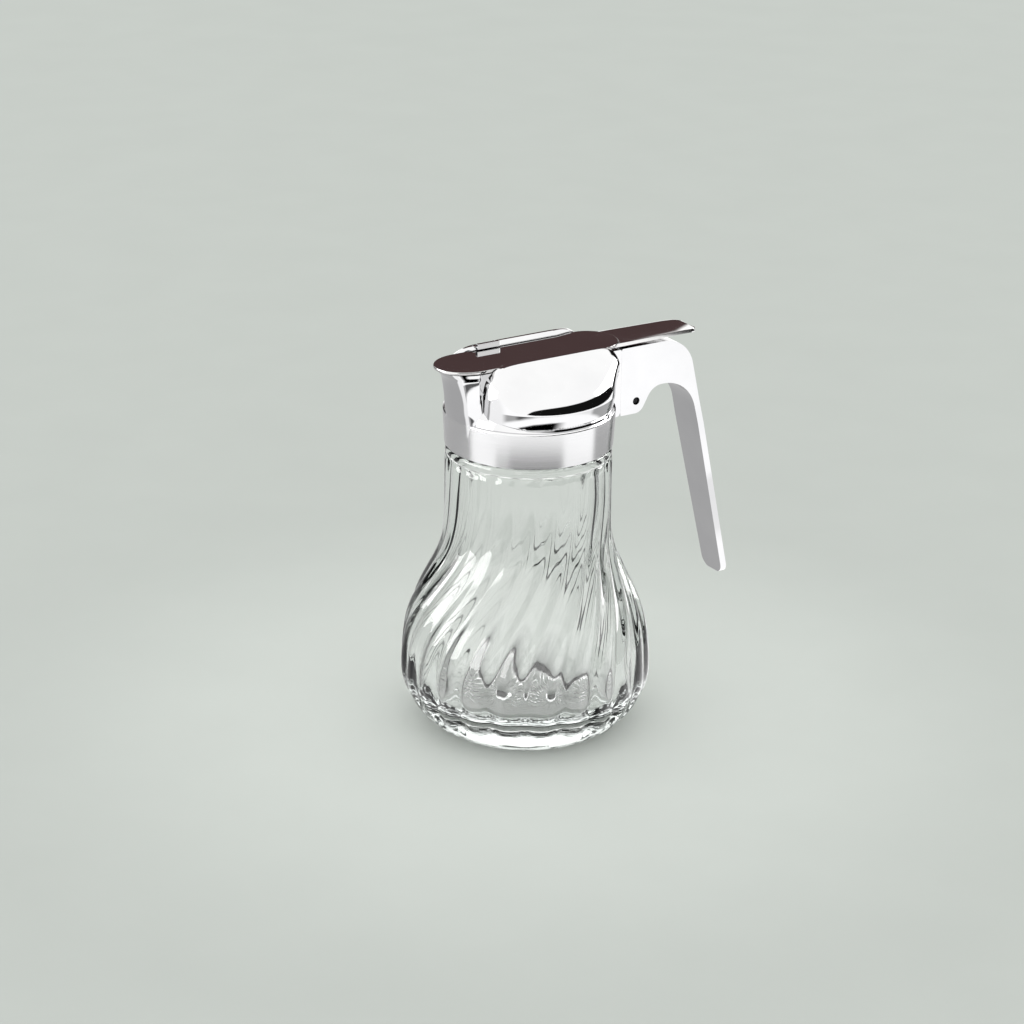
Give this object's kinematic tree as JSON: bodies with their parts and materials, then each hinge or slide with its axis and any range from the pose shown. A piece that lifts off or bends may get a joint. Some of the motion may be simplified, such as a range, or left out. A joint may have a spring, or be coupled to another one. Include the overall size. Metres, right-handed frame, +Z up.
{
  "type": "honey dispenser",
  "caption": "Glass honey jar with twisted flutes and a chromed pouring head; a thumb tab over the handle slides the flat lid back to open the spout.",
  "frame": {"origin": "centre of the button under the jar's base, on the table, where the jar's axis meets it", "axes": "+Z up along the jar's axis, -X towards the spout, +X towards the handle, +Y to the side with the keeper block"},
  "size_m": [0.1274, 0.088, 0.1382],
  "materials": {
    "clear_glass": "clear pressed glass with a faint grey-green tint",
    "chrome": "polished chrome plating",
    "mirror_steel": "mirror-polished plate that looks dark where it reflects a dark ceiling",
    "dark_pin": "dark, matt pin end"
  },
  "bodies": {
    "dispenser": {"glass_jar": "clear_glass", "pouring_head": "chrome", "handle": "chrome", "handle_pin": "dark_pin", "keeper_block": "chrome"},
    "slide": {"slide_plate": "mirror_steel"}
  },
  "joints": [
    {"name": "lid_slide", "type": "slide", "parent": "dispenser", "child": "slide", "axis": [1, 0, 0], "range_m": [0, 0.01], "stiffness_N_per_m": 200, "springref_m": -0.005}
  ]
}
